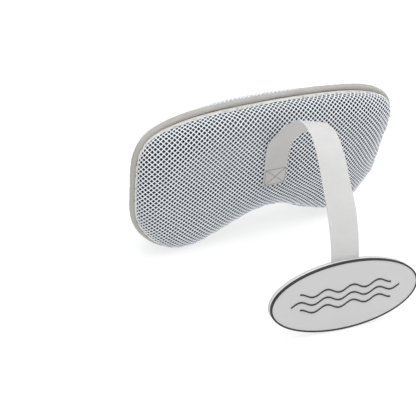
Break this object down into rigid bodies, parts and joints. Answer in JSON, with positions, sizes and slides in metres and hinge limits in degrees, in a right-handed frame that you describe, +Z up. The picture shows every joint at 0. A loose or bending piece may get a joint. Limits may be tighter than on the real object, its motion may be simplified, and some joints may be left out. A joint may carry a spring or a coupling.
{
  "type": "headrest pillow",
  "caption": "Kidney-shaped foam headrest pillow in a piped spacer-mesh cover, with a webbing strap over the tub wall to a weighted oval tag.",
  "frame": {"origin": "on the floor under the middle of the object's box, between the pillow and the tag", "axes": "+X along the pillow's length, +Z up, -Y from the pillow's back towards the tag; the pillow leans 9.3 degrees, with its top towards -Y"},
  "size_m": [0.2843, 0.243, 0.1553],
  "materials": {
    "foam": "open-cell foam",
    "mesh": "knitted spacer mesh with open diamond holes",
    "piping": "plain woven bias tape",
    "cord": "twisted filler cord",
    "webbing": "flat woven webbing",
    "thread": "lock stitch thread",
    "tag_face": "fine satin grain",
    "tag_rim": "satin",
    "steel": "plain cut plate",
    "print": "raised print"
  },
  "bodies": {
    "pillow": {"foam_core": "foam", "back_cover": "mesh", "front_cover": "mesh", "piping_cover": "piping", "piping_cord": "cord", "strap_foot": "webbing", "box_stitching": "thread", "backing_patch": "webbing"},
    "arch": {"strap_arch": "webbing"},
    "drop": {"strap_drop": "webbing"},
    "weight": {"weight_back_face": "tag_face", "weight_front_face": "tag_face", "weight_rim": "tag_rim", "weight_plate": "steel", "strap_tail": "webbing", "wave_emblem": "print"}
  },
  "joints": [
    {"name": "foot_fold", "type": "hinge", "parent": "pillow", "child": "arch", "pos_m": [-0.00068, 0.04466, 0.0824], "axis": [0.9869, -0.1616, 0], "range_deg": [0, 55]},
    {"name": "crown_fold", "type": "hinge", "parent": "arch", "child": "drop", "pos_m": [-0.01465, -0.04065, 0.15463], "axis": [0.9869, -0.1616, 0], "range_deg": [-70, 25]},
    {"name": "tag_fold", "type": "hinge", "parent": "drop", "child": "weight", "pos_m": [-0.02566, -0.10791, 0.0637], "axis": [0.9945, -0.1045, 0], "range_deg": [-50, 50]}
  ]
}
